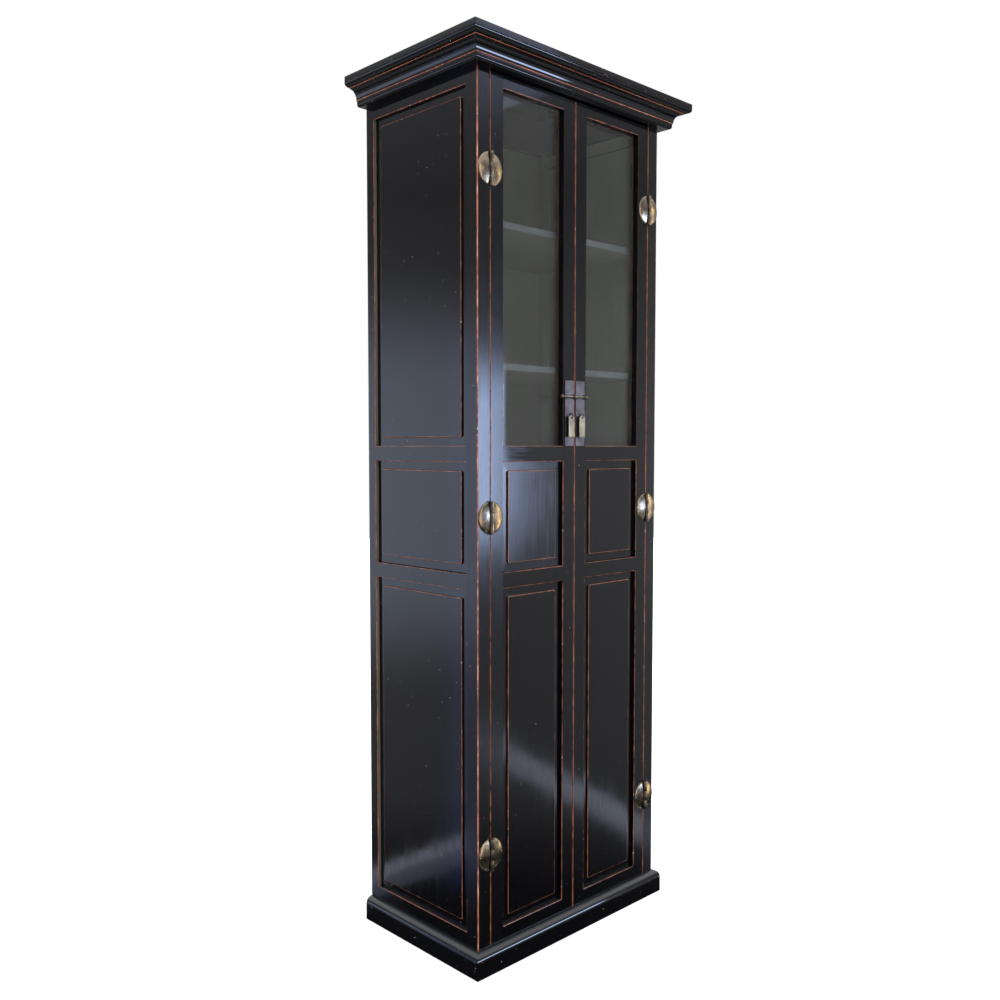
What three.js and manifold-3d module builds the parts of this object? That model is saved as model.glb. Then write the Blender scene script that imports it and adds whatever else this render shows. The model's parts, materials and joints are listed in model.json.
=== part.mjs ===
// Tower display case: a tall black-lacquered cabinet with a pair of doors, glazed above and panelled below.
// Millimetres, +Z up. The front faces -Y, and the origin is on the floor, under the middle of the case.
import * as THREE from "three";
import { mergeVertices } from "three/addons/utils/BufferGeometryUtils.js";
import Module from "manifold-3d";

const wasm = await Module();
wasm.setup();

// Driving dimensions.
const HEIGHT = 2130;
const CASE_WIDTH = 650;
const CASE_DEPTH = 410;
const CORNICE_HEIGHT = 65;
const CORNICE_PROJECTION = 65;
const TOP_BOARD = 14;
const PLINTH_HEIGHT = 58;
const PLINTH_PROJECTION = 17;
const PLINTH_WALL = 39;
const PLINTH_RECESS_INSET = 19.5;
const FLOOR_BOARD = 18;
const POST_WIDTH = 39;
const FRONT_POST_DEPTH = 39;
const REAR_POST_DEPTH = 30;
const SIDE_RAIL_THICKNESS = 22;
const DOOR_THICKNESS = 24;
const DOOR_STILE = 40;
const DOOR_SIDE_GAP = 1;
const MEETING_GAP = 2;
const DOOR_BOTTOM = 60;
const DOOR_TOP = 2061;
const BACK_THICKNESS = 8;
const SHELF_THICKNESS = 15;
const SHELF_TOPS = [763, 1091, 1419, 1747];
const HINGE_HEIGHTS = [278, 1062, 1846];

// The cornice's mouldings from its foot up: bead, fillet, cove and thumbnail, as [projection, height].
const BEAD_CENTRE = [21, 7];
const BEAD_RADII = [6.5, 7];
const FILLET = [
  [27.5, 13],
  [29.5, 14.5],
];
const COVE_CENTRE = [47, 14.5];
const COVE_RADII = [17.5, 23.5];
const THUMBNAIL_FOOT = [50.5, 40];
const THUMBNAIL_RISE = 10;

// Heights of the rails' edges, the same on the sides and the doors.
const BOTTOM_RAIL_TOP = 92;
const LOWER_RAIL = [895, 932];
const UPPER_RAIL = [1189, 1226];
const TOP_RAIL_BOTTOM = 2033;

// Joinery. FIT is the gap left between any two pieces.
const FIT = 0.25;
const GROOVE = 8;
const TONGUE = 7.5;
const TENON = 20;
const TENON_FRONT = 6;
const TENON_BACK = 16;
const TENON_SHOULDER = 9;
const DADO = 4;
const PANEL_FACE = 9;
const PANEL_BACK = 15;
const FIELD_FACE = 4.5;
const FIELD_MARGIN = 21;
const FIELD_CORNER = 4.5;
const GLASS_FACE = 16;
const GLASS_BACK = 20;

// Hinges: a round domed plate split into two leaves that turn on an upright pin in front of the door.
const HINGE_RADIUS = 38;
const HINGE_RIM = 1.2;
const HINGE_CROWN = 6;
const KNUCKLE_RADIUS = 5.2;
const KNUCKLE_CLEARANCE = 0.6;
const DOOR_KNUCKLE = 12.7;
const PIN_RADIUS = 2;
const PIN_CLEARANCE = 0.3;
const AXIS_OFFSET = 5.6;
const LEAF_GAP = 0.3;

// Lock: a plate on each door, an eye on each plate, and one tapered pin through both eyes.
const PLATE_INNER = 3;
const PLATE_OUTER = 36;
const PLATE_BOTTOM = 1226;
const PLATE_TOP = 1386;
const PLATE_THICKNESS = 1.6;
const EYE_RADIUS = 5;
const EYE_WIRE = 1.5;
const EYE_REACH = 14.5;
const LOCK_PIN_HEIGHT = 1346;
const LOCK_PIN_LEFT = -65;
const LOCK_PIN_RIGHT = 35;
const LOCK_PIN_RADIUS = 2.8;
const LOCK_PIN_NECK = 1.8;
const LOCK_PIN_KNOB = 4.5;

// Pulls: a flat tab that hangs in a wire loop on each plate.
const LOOP_HEIGHT = 1300;
const LOOP_RADIUS = 5.5;
const LOOP_WIRE = 1;
const TAB_WIDTH = 21;
const TAB_LENGTH = 52;
const TAB_THICKNESS = 3;
const TAB_HOLE = 2.2;
const TAB_CHAMFER = 4;

// Worked out from the driving dimensions.
const HALF_WIDTH = CASE_WIDTH / 2;
const FRONT = -(CASE_DEPTH - CORNICE_PROJECTION) / 2;
const BACK = FRONT + CASE_DEPTH;
const CORNICE_BOTTOM = HEIGHT - CORNICE_HEIGHT;
const INNER_HALF = HALF_WIDTH - POST_WIDTH;
const FRONT_POST_BACK = FRONT + FRONT_POST_DEPTH;
const REAR_POST_FRONT = BACK - REAR_POST_DEPTH;
const SIDE_MIDDLE = (FRONT_POST_BACK + REAR_POST_FRONT) / 2;
const SIDE_HALF_OPENING = (REAR_POST_FRONT - FRONT_POST_BACK) / 2;
const FRAME_BOTTOM = PLINTH_HEIGHT + FIT;
const FRAME_TOP = CORNICE_BOTTOM - FIT;
const AXIS_Y = FRONT - AXIS_OFFSET;
const DOOR_WIDTH = INNER_HALF - DOOR_SIDE_GAP - MEETING_GAP / 2;
const PLATE_MIDDLE = (PLATE_INNER + PLATE_OUTER) / 2;
const SIDES = { left: -1, right: 1 };
const PANEL_BAYS = {
  lower: [BOTTOM_RAIL_TOP, LOWER_RAIL[0]],
  middle: [LOWER_RAIL[1], UPPER_RAIL[0]],
  upper: [UPPER_RAIL[1], TOP_RAIL_BOTTOM],
};

// A closed geometry as a solid that can be joined and cut.
function solidOf(geometry) {
  const bare = geometry.clone();
  bare.deleteAttribute("normal");
  bare.deleteAttribute("uv");
  const merged = mergeVertices(bare, 1e-4);
  const vertProperties = new Float32Array(merged.attributes.position.array);
  const triVerts = new Uint32Array(merged.index.array);
  return new wasm.Manifold(new wasm.Mesh({ numProp: 3, vertProperties, triVerts }));
}

function geometryOf(solid) {
  const { vertProperties, triVerts } = solid.getMesh();
  const geometry = new THREE.BufferGeometry();
  geometry.setAttribute("position", new THREE.BufferAttribute(new Float32Array(vertProperties), 3));
  geometry.setIndex(new THREE.BufferAttribute(new Uint32Array(triVerts), 1));
  const faceted = geometry.toNonIndexed();
  faceted.computeVertexNormals();
  return faceted;
}

// A block between two values on each axis, given in either order.
function block([x0, x1], [y0, y1], [z0, z1]) {
  const size = [Math.abs(x1 - x0), Math.abs(y1 - y0), Math.abs(z1 - z0)];
  const box = new THREE.BoxGeometry(...size);
  box.translate((x0 + x1) / 2, (y0 + y1) / 2, (z0 + z1) / 2);
  return solidOf(box);
}

// An upright cylinder between two heights, on the Z axis.
function upright(radius, bottom, top, sides = 16) {
  const cylinder = new THREE.CylinderGeometry(radius, radius, top - bottom, sides);
  cylinder.rotateX(Math.PI / 2);
  cylinder.translate(0, 0, (bottom + top) / 2);
  return solidOf(cylinder);
}

function joined(solids) {
  return solids.reduce((whole, solid) => whole.add(solid));
}

function cut(solid, cutters) {
  return cutters.reduce((rest, cutter) => rest.subtract(cutter), solid);
}

const lacquer = () => new THREE.MeshStandardMaterial({ color: 0x0c0c10, roughness: 0.28, metalness: 0 });
const brass = () => new THREE.MeshStandardMaterial({ color: 0x6e665a, roughness: 0.38, metalness: 1 });
const pane = () =>
  new THREE.MeshStandardMaterial({
    color: 0xdfe6e2,
    roughness: 0.03,
    metalness: 0,
    transparent: true,
    opacity: 0.25,
  });

function addPiece(group, name, solid, material) {
  const mesh = new THREE.Mesh(geometryOf(solid), material());
  mesh.name = name;
  group.add(mesh);
  return mesh;
}

// The moulded outline of the cornice, as [projection, height above its foot].
function corniceOutline() {
  const outline = new THREE.Path();
  const quarter = Math.PI / 2;
  const [footX, footY] = THUMBNAIL_FOOT;
  outline.moveTo(0, 0);
  outline.lineTo(BEAD_CENTRE[0], 0);
  outline.absellipse(...BEAD_CENTRE, ...BEAD_RADII, -quarter, 0, false, 0);
  for (const [projection, height] of FILLET) {
    outline.lineTo(projection, height);
  }
  outline.absellipse(...COVE_CENTRE, ...COVE_RADII, Math.PI, quarter, true, 0);
  outline.lineTo(footX, footY);
  outline.absellipse(
    footX,
    footY + THUMBNAIL_RISE,
    CORNICE_PROJECTION - footX,
    THUMBNAIL_RISE,
    -quarter,
    0,
    false,
    0,
  );
  outline.lineTo(CORNICE_PROJECTION, CORNICE_HEIGHT);
  return outline.getPoints(4);
}

// The plinth's outline: an upright band with a quarter round on top.
function plinthOutline() {
  const outline = new THREE.Path();
  const round = PLINTH_PROJECTION;
  outline.moveTo(round, 0);
  outline.lineTo(round, PLINTH_HEIGHT - round);
  outline.absarc(0, PLINTH_HEIGHT - round, round, 0, Math.PI / 2, false);
  return outline.getPoints(5);
}

function extruded(points, length) {
  const shape = new THREE.Shape(points);
  return new THREE.ExtrudeGeometry(shape, { depth: length, bevelEnabled: false });
}

// A moulding mitred round the front and both sides of the case and cut flush at its back.
// One extrusion gives the front's outline, the other the sides', and what they share is the mitred whole.
function mitredSlab(outline, bottom) {
  const reach = 2 * CASE_WIDTH;
  const sideways = outline.map((p) => new THREE.Vector2(HALF_WIDTH + p.x, bottom + p.y));
  const mirrored = sideways.map((p) => new THREE.Vector2(-p.x, p.y)).reverse();
  const acrossFront = extruded([...sideways, ...mirrored], reach);
  acrossFront.rotateX(Math.PI / 2);
  acrossFront.translate(0, reach / 2, 0);

  const top = outline[outline.length - 1].y;
  const forward = outline.map((p) => new THREE.Vector2(FRONT - p.x, bottom + p.y));
  const behind = [new THREE.Vector2(BACK, bottom + top), new THREE.Vector2(BACK, bottom)];
  const fromSide = extruded([...forward, ...behind], reach);
  fromSide.rotateX(Math.PI / 2);
  fromSide.rotateZ(Math.PI / 2);
  fromSide.translate(-reach / 2, 0, 0);
  return solidOf(acrossFront).intersect(solidOf(fromSide));
}

// The base unit: the moulded plinth glued round the floor board, open underneath.
function plinthBase() {
  const slab = mitredSlab(plinthOutline(), 0);
  const half = HALF_WIDTH + PLINTH_PROJECTION - PLINTH_WALL;
  const recess = block(
    [-half, half],
    [FRONT + PLINTH_RECESS_INSET, BACK - PLINTH_RECESS_INSET],
    [-1, PLINTH_HEIGHT - FLOOR_BOARD],
  );
  return slab.subtract(recess);
}

// The top unit: the crown moulding glued under the top board, open inside the case's posts.
function corniceCap() {
  const slab = mitredSlab(corniceOutline(), CORNICE_BOTTOM);
  const inside = block(
    [-INNER_HALF, INNER_HALF],
    [FRONT_POST_BACK, REAR_POST_FRONT],
    [CORNICE_BOTTOM - 1, HEIGHT - TOP_BOARD],
  );
  return slab.subtract(inside);
}

// Every rail on a case side, from its lower to its upper edge, by name.
const SIDE_RAILS = {
  bottom: [FRAME_BOTTOM, BOTTOM_RAIL_TOP],
  lower: LOWER_RAIL,
  upper: UPPER_RAIL,
  top: [TOP_RAIL_BOTTOM, FRAME_TOP],
};

// Every rail of a door, likewise.
const DOOR_RAILS = {
  bottom: [DOOR_BOTTOM, BOTTOM_RAIL_TOP],
  lower: LOWER_RAIL,
  upper: UPPER_RAIL,
  top: [TOP_RAIL_BOTTOM, DOOR_TOP],
};

function tenonHeights([bottom, top]) {
  return [bottom + TENON_SHOULDER, top - TENON_SHOULDER];
}

function widened([low, high], by = FIT) {
  return [low - by, high + by];
}

// A corner post. Its side groove holds the side panels, and its mortises hold the side rails' tenons.
function post(side, isFront) {
  const face = side * HALF_WIDTH;
  const inward = (depth) => face - side * depth;
  const edge = isFront ? FRONT_POST_BACK : REAR_POST_FRONT;
  const into = isFront ? -1 : 1;
  const far = isFront ? FRONT : BACK;
  const body = block([face, side * INNER_HALF], [far, edge], [FRAME_BOTTOM, FRAME_TOP]);
  const grooveDepths = widened([PANEL_FACE, PANEL_BACK]).map(inward);
  const groove = block(
    grooveDepths,
    [edge - into, edge + into * GROOVE],
    [BOTTOM_RAIL_TOP - GROOVE, TOP_RAIL_BOTTOM + GROOVE],
  );
  const mortiseDepths = widened([TENON_FRONT, TENON_BACK]).map(inward);
  const mortises = Object.values(SIDE_RAILS).map((rail) =>
    block(mortiseDepths, [edge - into, edge + into * (TENON + FIT)], widened(tenonHeights(rail))),
  );
  const dadoEnd = isFront ? FRONT_POST_BACK - GROOVE : BACK - BACK_THICKNESS;
  const dadoes = SHELF_TOPS.map((top) =>
    block(
      [side * (INNER_HALF - 1), side * (INNER_HALF + DADO + FIT)],
      [edge - into, dadoEnd],
      widened([top - SHELF_THICKNESS, top]),
    ),
  );
  const rebate = block(
    [side * (INNER_HALF - 1), side * (INNER_HALF + GROOVE)],
    [BACK - BACK_THICKNESS - FIT, BACK + 1],
    [FRAME_BOTTOM - 1, FRAME_TOP + 1],
  );
  const cutters = [groove, ...mortises, ...dadoes];
  return cut(body, isFront ? cutters : [...cutters, rebate]);
}

// The frames below are drawn facing -Y with their outer face at y = 0: x runs across, y into the case.

// A level rail between two uprights, with a tenon at each end and what is cut along its edges.
function rail([x0, x1], [z0, z1], thickness, edges) {
  const body = block([x0 + FIT, x1 - FIT], [0, thickness], [z0, z1]);
  const tenon = block([x0 - TENON, x1 + TENON], [TENON_FRONT, TENON_BACK], tenonHeights([z0, z1]));
  const cutters = [];
  const whole = [x0 - 1, x1 + 1];
  if (edges.below === "panel") cutters.push(panelGroove(whole, [z0 - 1, z0 + GROOVE]));
  if (edges.above === "panel") cutters.push(panelGroove(whole, [z1 - GROOVE, z1 + 1]));
  if (edges.below === "glass") cutters.push(glassRebate(whole, [z0 - 1, z0 + GROOVE]));
  if (edges.above === "glass") cutters.push(glassRebate(whole, [z1 - GROOVE, z1 + 1]));
  return cut(body.add(tenon), cutters);
}

function panelGroove(across, heights) {
  return block(across, widened([PANEL_FACE, PANEL_BACK]), heights);
}

function glassRebate(across, heights) {
  return block(across, [GLASS_FACE - FIT, DOOR_THICKNESS + 1], heights);
}

// A raised panel: a tongue all round for the grooves, and a field with small round corners standing proud.
function raisedPanel([x0, x1], [z0, z1]) {
  const board = block(
    widened([x0, x1], TONGUE),
    [PANEL_FACE, PANEL_BACK],
    widened([z0, z1], TONGUE),
  );
  const [left, right] = widened([x0, x1], -FIELD_MARGIN);
  const [low, high] = widened([z0, z1], -FIELD_MARGIN);
  const r = FIELD_CORNER;
  const outline = new THREE.Shape();
  outline.moveTo(left + r, low);
  outline.absarc(right - r, low + r, r, -Math.PI / 2, 0, false);
  outline.absarc(right - r, high - r, r, 0, Math.PI / 2, false);
  outline.absarc(left + r, high - r, r, Math.PI / 2, Math.PI, false);
  outline.absarc(left + r, low + r, r, Math.PI, 1.5 * Math.PI, false);
  const backing = (PANEL_FACE + PANEL_BACK) / 2;
  const field = new THREE.ExtrudeGeometry(outline, {
    depth: backing - FIELD_FACE,
    bevelEnabled: false,
    curveSegments: 2,
  });
  field.rotateX(Math.PI / 2);
  field.translate(0, backing, 0);
  return board.add(solidOf(field));
}

// Rails and panels of one side of the case, in a group that is turned to face outwards.
function caseSide(name, side) {
  const group = new THREE.Group();
  group.position.set(side * HALF_WIDTH, SIDE_MIDDLE, 0);
  group.rotation.z = (side * Math.PI) / 2;
  const across = [-SIDE_HALF_OPENING, SIDE_HALF_OPENING];
  const edges = {
    bottom: { above: "panel" },
    lower: { below: "panel", above: "panel" },
    upper: { below: "panel", above: "panel" },
    top: { below: "panel" },
  };
  for (const [place, heights] of Object.entries(SIDE_RAILS)) {
    const piece = rail(across, heights, SIDE_RAIL_THICKNESS, edges[place]);
    addPiece(group, `side_rail_${place}_${name}`, piece, lacquer);
  }
  for (const [place, heights] of Object.entries(PANEL_BAYS)) {
    addPiece(group, `side_panel_${place}_${name}`, raisedPanel(across, heights), lacquer);
  }
  return group;
}

// An upright of a door frame. inner is its edge beside the panels, outer its other edge.
function doorStile(outer, inner) {
  const towards = Math.sign(outer - inner);
  const body = block([outer, inner], [0, DOOR_THICKNESS], [DOOR_BOTTOM, DOOR_TOP]);
  const slot = [inner - towards, inner + towards * GROOVE];
  const groove = panelGroove(slot, [BOTTOM_RAIL_TOP - GROOVE, UPPER_RAIL[0] + GROOVE]);
  const rebate = glassRebate(slot, [UPPER_RAIL[1] - GROOVE, TOP_RAIL_BOTTOM + GROOVE]);
  const mortises = Object.values(DOOR_RAILS).map((heights) =>
    block(
      [inner - towards, inner + towards * (TENON + FIT)],
      widened([TENON_FRONT, TENON_BACK]),
      widened(tenonHeights(heights)),
    ),
  );
  return cut(body, [groove, rebate, ...mortises]);
}

// One door with what is fixed to it, in a group whose origin is on the hinge axis, at floor level.
function door(name, side) {
  const group = new THREE.Group();
  group.position.set(side * INNER_HALF, AXIS_Y, 0);
  // The frame is drawn for the left-hand door, which runs towards +X, and mirrored for the right.
  const add = (piece, solid, material) => {
    const mesh = addPiece(group, `${piece}_${name}`, solid, material);
    mesh.position.set(-side * DOOR_SIDE_GAP, AXIS_OFFSET, 0);
    mesh.scale.x = -side;
  };

  const opening = [DOOR_STILE, DOOR_WIDTH - DOOR_STILE];
  add("hinge_stile", doorStile(0, opening[0]), lacquer);
  add("meeting_stile", doorStile(DOOR_WIDTH, opening[1]), lacquer);
  const edges = {
    bottom: { above: "panel" },
    lower: { below: "panel", above: "panel" },
    upper: { below: "panel", above: "glass" },
    top: { below: "glass" },
  };
  for (const [spot, heights] of Object.entries(DOOR_RAILS)) {
    add(`door_rail_${spot}`, rail(opening, heights, DOOR_THICKNESS, edges[spot]), lacquer);
  }
  add("door_panel_lower", raisedPanel(opening, PANEL_BAYS.lower), lacquer);
  add("door_panel_middle", raisedPanel(opening, PANEL_BAYS.middle), lacquer);
  const glass = block(
    widened(opening, TONGUE),
    [GLASS_FACE, GLASS_BACK],
    widened(PANEL_BAYS.upper, TONGUE),
  );
  add("door_glass", glass, pane);

  for (const [index, height] of HINGE_HEIGHTS.entries()) {
    const leaf = addPiece(group, `hinge_door_leaf_${index + 1}_${name}`, doorLeaf(-side), brass);
    leaf.position.z = height;
  }
  const plate = addPiece(group, `lock_plate_${name}`, lockPlate(), brass);
  plate.position.set(side * (PLATE_MIDDLE - INNER_HALF), AXIS_OFFSET, 0);
  const tab = addPiece(group, `pull_tab_${name}`, pullTab(), brass);
  tab.position.set(plate.position.x, AXIS_OFFSET - FIT - PLATE_THICKNESS - LOOP_RADIUS, LOOP_HEIGHT);
  return group;
}

// The domed round plate of a hinge, with its back on the wood and the hinge axis as the origin.
function hingeDome() {
  const rise = HINGE_CROWN - HINGE_RIM;
  const sphere = (HINGE_RADIUS ** 2 + rise ** 2) / (2 * rise);
  const rings = 4;
  const profile = [new THREE.Vector2(0, 0), new THREE.Vector2(HINGE_RADIUS, 0)];
  for (let ring = rings; ring >= 0; ring -= 1) {
    const radius = (HINGE_RADIUS * ring) / rings;
    const height = HINGE_CROWN - sphere + Math.sqrt(sphere ** 2 - radius ** 2);
    profile.push(new THREE.Vector2(radius, height));
  }
  const dome = new THREE.LatheGeometry(profile, 28);
  dome.rotateX(Math.PI);
  dome.translate(0, AXIS_OFFSET - FIT, 0);
  return solidOf(dome);
}

function halfDome(towards) {
  const reach = HINGE_RADIUS + 1;
  const half = block([towards * LEAF_GAP, towards * reach], [-reach, reach], [-reach, reach]);
  return hingeDome().intersect(half);
}

// The leaf on the post: the two outer knuckles, and the pin riveted through them.
function postLeaf(towards) {
  const gap = upright(KNUCKLE_RADIUS + KNUCKLE_CLEARANCE, -DOOR_KNUCKLE - FIT, DOOR_KNUCKLE + FIT);
  const upper = upright(KNUCKLE_RADIUS, DOOR_KNUCKLE + FIT, HINGE_RADIUS);
  const lower = upright(KNUCKLE_RADIUS, -HINGE_RADIUS, -DOOR_KNUCKLE - FIT);
  const pin = upright(PIN_RADIUS, -HINGE_RADIUS, HINGE_RADIUS, 12);
  return joined([halfDome(towards).subtract(gap), upper, lower, pin]);
}

// The leaf on the door: the middle knuckle, which turns on the pin.
function doorLeaf(towards) {
  const clear = KNUCKLE_RADIUS + KNUCKLE_CLEARANCE;
  const above = upright(clear, DOOR_KNUCKLE, HINGE_RADIUS + 1);
  const below = upright(clear, -HINGE_RADIUS - 1, -DOOR_KNUCKLE);
  const knuckle = upright(KNUCKLE_RADIUS, -DOOR_KNUCKLE, DOOR_KNUCKLE);
  const bore = upright(PIN_RADIUS + PIN_CLEARANCE, -HINGE_RADIUS, HINGE_RADIUS, 12);
  return cut(halfDome(towards), [above, below]).add(knuckle).subtract(bore);
}

// A wire ring standing on edge, in the plane x = 0, at a place given as [y, z].
function wireRing(radius, wire, [y, z], around = 14) {
  const ring = new THREE.TorusGeometry(radius, wire, 6, around);
  ring.rotateY(Math.PI / 2);
  ring.translate(0, y, z);
  return solidOf(ring);
}

// A lock plate with the eye for the lock pin and the loop for the pull. The door's face is at y = 0.
function lockPlate() {
  const half = (PLATE_OUTER - PLATE_INNER) / 2;
  const face = -FIT - PLATE_THICKNESS;
  const sheet = block([-half, half], [-FIT, face], [PLATE_BOTTOM, PLATE_TOP]);
  const shank = new THREE.CylinderGeometry(EYE_WIRE, EYE_WIRE, EYE_REACH - EYE_RADIUS + face / 2, 8);
  shank.translate(0, (face / 2 - EYE_REACH + EYE_RADIUS) / 2, LOCK_PIN_HEIGHT);
  const eye = wireRing(EYE_RADIUS, EYE_WIRE, [-EYE_REACH, LOCK_PIN_HEIGHT]);
  const loop = wireRing(LOOP_RADIUS, LOOP_WIRE, [face - LOOP_RADIUS, LOOP_HEIGHT]);
  return joined([sheet, solidOf(shank), eye, loop]);
}

// The tab of a pull, hanging from the middle of its loop, which is the origin and lies on its swing axis.
function pullTab() {
  const half = TAB_WIDTH / 2;
  const outline = new THREE.Shape();
  outline.moveTo(-half, -TAB_LENGTH);
  outline.lineTo(half, -TAB_LENGTH);
  outline.lineTo(half, -TAB_CHAMFER);
  outline.lineTo(half - TAB_CHAMFER, 0);
  outline.lineTo(TAB_CHAMFER - half, 0);
  outline.lineTo(-half, -TAB_CHAMFER);
  const hole = new THREE.Path();
  hole.absarc(0, -LOOP_RADIUS, TAB_HOLE, 0, 2 * Math.PI, true);
  outline.holes.push(hole);
  const tab = new THREE.ExtrudeGeometry(outline, {
    depth: TAB_THICKNESS,
    bevelEnabled: false,
    curveSegments: 6,
  });
  tab.rotateX(Math.PI / 2);
  tab.translate(0, TAB_THICKNESS / 2, 0);
  return solidOf(tab);
}

// The lock pin, lying along X: a round knob, a thin neck, and a shank that swells and tapers to its tip.
function lockPin() {
  const knob = LOCK_PIN_LEFT + LOCK_PIN_KNOB;
  const knobSteps = 5;
  const knobTurn = Math.PI / 7;
  const profile = [];
  for (let step = 0; step <= knobSteps; step += 1) {
    const angle = -Math.PI / 2 + step * knobTurn;
    const radius = LOCK_PIN_KNOB * Math.cos(angle);
    profile.push(new THREE.Vector2(radius, knob + LOCK_PIN_KNOB * Math.sin(angle)));
  }
  profile[0].x = 0;
  profile.push(new THREE.Vector2(LOCK_PIN_NECK, knob + LOCK_PIN_KNOB));
  profile.push(new THREE.Vector2(LOCK_PIN_RADIUS, -PLATE_MIDDLE));
  profile.push(new THREE.Vector2(LOCK_PIN_RADIUS, PLATE_MIDDLE));
  profile.push(new THREE.Vector2(LOCK_PIN_NECK, LOCK_PIN_RIGHT - 1));
  profile.push(new THREE.Vector2(0, LOCK_PIN_RIGHT));
  const pin = new THREE.LatheGeometry(profile, 12);
  pin.rotateZ(-Math.PI / 2);
  return solidOf(pin);
}

// A shelf, notched round the four posts, with its corners let into their dadoes.
function shelf(top) {
  const middleHalf = HALF_WIDTH - SIDE_RAIL_THICKNESS - 1;
  const endHalf = INNER_HALF + DADO;
  const y = [
    FRONT_POST_BACK - GROOVE + FIT,
    FRONT_POST_BACK + FIT,
    REAR_POST_FRONT - FIT,
    BACK - BACK_THICKNESS - FIT,
  ];
  const right = [
    [endHalf, y[0]],
    [endHalf, y[1]],
    [middleHalf, y[1]],
    [middleHalf, y[2]],
    [endHalf, y[2]],
    [endHalf, y[3]],
  ].map(([px, py]) => new THREE.Vector2(px, py));
  const left = right.map((p) => new THREE.Vector2(-p.x, p.y)).reverse();
  const board = extruded([...right, ...left], SHELF_THICKNESS);
  board.translate(0, 0, top - SHELF_THICKNESS);
  return solidOf(board);
}

const cabinet = new THREE.Group();
addPiece(cabinet, "plinth_base", plinthBase(), lacquer);
addPiece(cabinet, "cornice_cap", corniceCap(), lacquer);
for (const [name, side] of Object.entries(SIDES)) {
  addPiece(cabinet, `front_post_${name}`, post(side, true), lacquer);
  addPiece(cabinet, `rear_post_${name}`, post(side, false), lacquer);
  cabinet.add(caseSide(name, side));
  cabinet.add(door(name, side));
  for (const [index, height] of HINGE_HEIGHTS.entries()) {
    const leaf = addPiece(cabinet, `hinge_post_leaf_${index + 1}_${name}`, postLeaf(side), brass);
    leaf.position.set(side * INNER_HALF, AXIS_Y, height);
  }
}
for (const [index, top] of SHELF_TOPS.entries()) {
  addPiece(cabinet, `shelf_${index + 1}`, shelf(top), lacquer);
}
const backHalf = INNER_HALF + TONGUE;
const backPanel = block([-backHalf, backHalf], [BACK - BACK_THICKNESS, BACK], [FRAME_BOTTOM, FRAME_TOP]);
addPiece(cabinet, "back_panel", backPanel, lacquer);
const pin = addPiece(cabinet, "lock_pin", lockPin(), brass);
pin.position.set(0, FRONT - EYE_REACH, LOCK_PIN_HEIGHT);

export default cabinet;
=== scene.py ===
"""Tower display case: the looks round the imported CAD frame. Names in _MM are millimetres, the rest metres."""

import json
import math

import bmesh
import bpy
from mathutils import Matrix, Vector


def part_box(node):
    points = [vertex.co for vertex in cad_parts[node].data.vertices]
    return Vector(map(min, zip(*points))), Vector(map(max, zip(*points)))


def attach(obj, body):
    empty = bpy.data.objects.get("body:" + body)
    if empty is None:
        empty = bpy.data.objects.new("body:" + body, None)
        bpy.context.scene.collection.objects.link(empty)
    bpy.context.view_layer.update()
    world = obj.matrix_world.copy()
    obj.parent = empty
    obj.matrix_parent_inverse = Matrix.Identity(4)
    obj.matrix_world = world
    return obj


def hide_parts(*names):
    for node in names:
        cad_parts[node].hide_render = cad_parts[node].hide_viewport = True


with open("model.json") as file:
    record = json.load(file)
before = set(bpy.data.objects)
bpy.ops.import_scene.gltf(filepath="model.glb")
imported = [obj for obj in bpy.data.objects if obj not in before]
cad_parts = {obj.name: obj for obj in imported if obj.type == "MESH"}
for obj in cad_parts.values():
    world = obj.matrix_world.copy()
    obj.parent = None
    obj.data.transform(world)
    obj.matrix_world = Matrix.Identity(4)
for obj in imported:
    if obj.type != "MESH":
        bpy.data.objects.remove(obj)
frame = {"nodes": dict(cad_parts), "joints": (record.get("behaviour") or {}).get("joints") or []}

MM = 0.001
LEFT, RIGHT = -1, 1
SIDES = {"left": LEFT, "right": RIGHT}
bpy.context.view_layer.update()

# Camera: where it stands, where it points and its lens, on a 36 mm sensor.
CAMERA_PLACE = (-1.8390, -1.8185, 1.2234)
CAMERA_HEADING = 43.90
CAMERA_TILT = -3.05
CAMERA_LENS = 35.77

# The room that the lacquer mirrors: how bright it is at each height, in degrees above the level.
ROOM_FILL = 2.0
ROOM_TINT = (0.98, 0.99, 1.04)
ROOM_SHADES = (
    (-90, 0.45),
    (-50, 0.45),
    (-40, 0.25),
    (-30, 0.05),
    (-24.5, 0.03),
    (-22, 0.12),
    (-19.5, 0.30),
    (-16, 0.36),
    (-11, 0.42),
    (-5, 0.55),
    (0, 0.60),
    (8, 0.42),
    (14, 0.26),
    (19, 0.40),
    (23, 0.80),
    (28, 1.50),
    (36, 1.80),
)
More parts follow.
